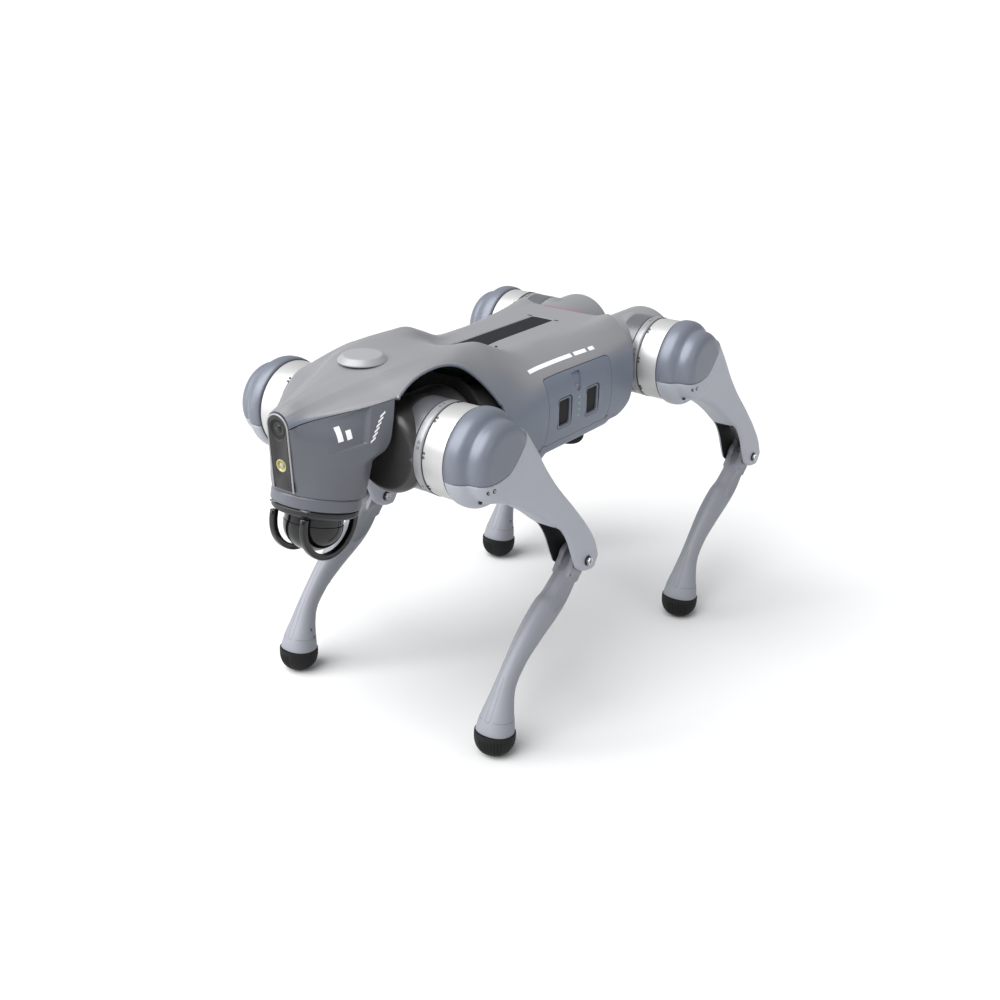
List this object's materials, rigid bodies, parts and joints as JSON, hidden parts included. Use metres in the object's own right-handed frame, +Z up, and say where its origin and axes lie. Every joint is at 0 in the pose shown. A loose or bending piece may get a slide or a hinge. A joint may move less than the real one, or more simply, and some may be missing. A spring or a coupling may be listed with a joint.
{
  "type": "quadruped robot",
  "caption": "Four-legged walking robot with a hollow shelled trunk, motor-driven hips and knees, rubber feet, a chin-mounted laser scanner and a side-loading battery.",
  "frame": {"origin": "on the ground under the middle of the standing robot's bounding box", "axes": "+X forward, +Y to the robot's left, +Z up"},
  "size_m": [0.696, 0.329, 0.4125],
  "materials": {
    "light_grey_shell": "satin paint on moulded plastic",
    "blue_grey_shell": "satin paint on moulded plastic",
    "leg_grey": "satin powder coat",
    "silver_motor": "brushed and clear anodised",
    "steel": "machined",
    "dark_metal": "black anodised",
    "black_plastic": "fine grain",
    "gloss_black": "polished",
    "rubber": "matt moulded",
    "webbing": "woven webbing",
    "lens_glass": "coated lens",
    "lamp_glass": "clear lamp cover",
    "circuit_board": "soldered board"
  },
  "bodies": {
    "trunk": {"trunk_frame": "dark_metal", "top_shell": "light_grey_shell", "belly_cover": "blue_grey_shell", "belly_pads": "rubber", "main_board": "circuit_board", "antenna_puck": "light_grey_shell", "carry_strap": "webbing", "head_shell": "blue_grey_shell", "face_panel": "gloss_black", "camera_lens": "lens_glass", "head_lamp": "lamp_glass", "chin_ring": "light_grey_shell", "lidar_base": "black_plastic", "lidar_guard_left": "black_plastic", "lidar_guard_right": "black_plastic", "hip_motor_front_left": "dark_metal", "hip_motor_front_right": "dark_metal", "hip_motor_rear_left": "dark_metal", "hip_motor_rear_right": "dark_metal"},
    "hip_front_left": {"hip_housing_front_left": "leg_grey"},
    "thigh_front_left": {"knee_motor_front_left": "silver_motor", "thigh_cap_front_left": "blue_grey_shell", "thigh_frame_front_left": "leg_grey", "knee_pin_front_left": "steel"},
    "calf_front_left": {"calf_front_left": "leg_grey", "foot_front_left": "rubber"},
    "crank_front_left": {"knee_crank_front_left": "dark_metal"},
    "rod_front_left": {"knee_rod_front_left": "steel"},
    "hip_front_right": {"hip_housing_front_right": "leg_grey"},
    "thigh_front_right": {"knee_motor_front_right": "silver_motor", "thigh_cap_front_right": "blue_grey_shell", "thigh_frame_front_right": "leg_grey", "knee_pin_front_right": "steel"},
    "calf_front_right": {"calf_front_right": "leg_grey", "foot_front_right": "rubber"},
    "crank_front_right": {"knee_crank_front_right": "dark_metal"},
    "rod_front_right": {"knee_rod_front_right": "steel"},
    "hip_rear_left": {"hip_housing_rear_left": "leg_grey"},
    "thigh_rear_left": {"knee_motor_rear_left": "silver_motor", "thigh_cap_rear_left": "blue_grey_shell", "thigh_frame_rear_left": "leg_grey", "knee_pin_rear_left": "steel"},
    "calf_rear_left": {"calf_rear_left": "leg_grey", "foot_rear_left": "rubber"},
    "crank_rear_left": {"knee_crank_rear_left": "dark_metal"},
    "rod_rear_left": {"knee_rod_rear_left": "steel"},
    "hip_rear_right": {"hip_housing_rear_right": "leg_grey"},
    "thigh_rear_right": {"knee_motor_rear_right": "silver_motor", "thigh_cap_rear_right": "blue_grey_shell", "thigh_frame_rear_right": "leg_grey", "knee_pin_rear_right": "steel"},
    "calf_rear_right": {"calf_rear_right": "leg_grey", "foot_rear_right": "rubber"},
    "crank_rear_right": {"knee_crank_rear_right": "dark_metal"},
    "rod_rear_right": {"knee_rod_rear_right": "steel"},
    "battery": {"battery_pack": "blue_grey_shell"},
    "latch_front": {"battery_latch_front": "black_plastic"},
    "latch_rear": {"battery_latch_rear": "black_plastic"},
    "button": {"power_button": "light_grey_shell"},
    "scanner_rotor": {"lidar_rotor": "gloss_black"}
  },
  "joints": [
    {"name": "hip_swing_front_left", "type": "hinge", "parent": "trunk", "child": "hip_front_left", "pos_m": [0.2091, 0.0465, 0.33015], "axis": [-1, 0, 0], "range_deg": [-35, 40]},
    {"name": "thigh_swing_front_left", "type": "hinge", "parent": "hip_front_left", "child": "thigh_front_left", "pos_m": [0.2091, 0.142, 0.33015], "axis": [0, 1, 0], "range_deg": [-133.4, 156.6]},
    {"name": "knee_front_left", "type": "hinge", "parent": "thigh_front_left", "child": "calf_front_left", "pos_m": [0.06283, 0.142, 0.17531], "axis": [0, 1, 0], "range_deg": [-69, 35.3]},
    {"name": "crank_turn_front_left", "type": "hinge", "parent": "thigh_front_left", "child": "crank_front_left", "pos_m": [0.2091, 0.142, 0.33015], "axis": [0, 1, 0], "range_deg": [-75, 38]},
    {"name": "rod_turn_front_left", "type": "hinge", "parent": "crank_front_left", "child": "rod_front_left", "pos_m": [0.203, 0.142, 0.34163], "axis": [0, 1, 0], "range_deg": [-38, 75]},
    {"name": "hip_swing_front_right", "type": "hinge", "parent": "trunk", "child": "hip_front_right", "pos_m": [0.2091, -0.0465, 0.33015], "axis": [-1, 0, 0], "range_deg": [-40, 35]},
    {"name": "thigh_swing_front_right", "type": "hinge", "parent": "hip_front_right", "child": "thigh_front_right", "pos_m": [0.2091, -0.142, 0.33015], "axis": [0, 1, 0], "range_deg": [-133.4, 156.6]},
    {"name": "knee_front_right", "type": "hinge", "parent": "thigh_front_right", "child": "calf_front_right", "pos_m": [0.06283, -0.142, 0.17531], "axis": [0, 1, 0], "range_deg": [-69, 35.3]},
    {"name": "crank_turn_front_right", "type": "hinge", "parent": "thigh_front_right", "child": "crank_front_right", "pos_m": [0.2091, -0.142, 0.33015], "axis": [0, 1, 0], "range_deg": [-75, 38]},
    {"name": "rod_turn_front_right", "type": "hinge", "parent": "crank_front_right", "child": "rod_front_right", "pos_m": [0.203, -0.142, 0.34163], "axis": [0, 1, 0], "range_deg": [-38, 75]},
    {"name": "hip_swing_rear_left", "type": "hinge", "parent": "trunk", "child": "hip_rear_left", "pos_m": [-0.1777, 0.0465, 0.33015], "axis": [-1, 0, 0], "range_deg": [-35, 40]},
    {"name": "thigh_swing_rear_left", "type": "hinge", "parent": "hip_rear_left", "child": "thigh_rear_left", "pos_m": [-0.1777, 0.142, 0.33015], "axis": [0, -1, 0], "range_deg": [-216.6, 48]},
    {"name": "knee_rear_left", "type": "hinge", "parent": "thigh_rear_left", "child": "calf_rear_left", "pos_m": [-0.32397, 0.142, 0.17531], "axis": [0, 1, 0], "range_deg": [-69, 35.3]},
    {"name": "crank_turn_rear_left", "type": "hinge", "parent": "thigh_rear_left", "child": "crank_rear_left", "pos_m": [-0.1777, 0.142, 0.33015], "axis": [0, 1, 0], "range_deg": [-75, 38]},
    {"name": "rod_turn_rear_left", "type": "hinge", "parent": "crank_rear_left", "child": "rod_rear_left", "pos_m": [-0.1838, 0.142, 0.34163], "axis": [0, 1, 0], "range_deg": [-38, 75]},
    {"name": "hip_swing_rear_right", "type": "hinge", "parent": "trunk", "child": "hip_rear_right", "pos_m": [-0.1777, -0.0465, 0.33015], "axis": [-1, 0, 0], "range_deg": [-40, 35]},
    {"name": "thigh_swing_rear_right", "type": "hinge", "parent": "hip_rear_right", "child": "thigh_rear_right", "pos_m": [-0.1777, -0.142, 0.33015], "axis": [0, -1, 0], "range_deg": [-216.6, 48]},
    {"name": "knee_rear_right", "type": "hinge", "parent": "thigh_rear_right", "child": "calf_rear_right", "pos_m": [-0.32397, -0.142, 0.17531], "axis": [0, 1, 0], "range_deg": [-69, 35.3]},
    {"name": "crank_turn_rear_right", "type": "hinge", "parent": "thigh_rear_right", "child": "crank_rear_right", "pos_m": [-0.1777, -0.142, 0.33015], "axis": [0, 1, 0], "range_deg": [-75, 38]},
    {"name": "rod_turn_rear_right", "type": "hinge", "parent": "crank_rear_right", "child": "rod_rear_right", "pos_m": [-0.1838, -0.142, 0.34163], "axis": [0, 1, 0], "range_deg": [-38, 75]},
    {"name": "battery_slide", "type": "slide", "parent": "trunk", "child": "battery", "axis": [0, 1, 0], "range_m": [0, 0.17]},
    {"name": "latch_front_squeeze", "type": "slide", "parent": "battery", "child": "latch_front", "axis": [-1, 0, 0], "range_m": [0, 0.004], "stiffness_N_per_m": 400},
    {"name": "latch_rear_squeeze", "type": "slide", "parent": "battery", "child": "latch_rear", "axis": [1, 0, 0], "range_m": [0, 0.004], "stiffness_N_per_m": 400},
    {"name": "power_button_press", "type": "slide", "parent": "battery", "child": "button", "axis": [0, -1, 0], "range_m": [0, 0.0012], "stiffness_N_per_m": 1000},
    {"name": "scanner_spin", "type": "hinge", "parent": "trunk", "child": "scanner_rotor", "pos_m": [0.2985, 0, 0.29305], "axis": [-0.2419, 0, 0.9703], "continuous": true}
  ],
  "couplings": [
    {"joint": "crank_turn_front_left", "follows": "knee_front_left", "ratio": 1},
    {"joint": "rod_turn_front_left", "follows": "knee_front_left", "ratio": -1},
    {"joint": "crank_turn_front_right", "follows": "knee_front_right", "ratio": 1},
    {"joint": "rod_turn_front_right", "follows": "knee_front_right", "ratio": -1},
    {"joint": "crank_turn_rear_left", "follows": "knee_rear_left", "ratio": 1},
    {"joint": "rod_turn_rear_left", "follows": "knee_rear_left", "ratio": -1},
    {"joint": "crank_turn_rear_right", "follows": "knee_rear_right", "ratio": 1},
    {"joint": "rod_turn_rear_right", "follows": "knee_rear_right", "ratio": -1}
  ]
}
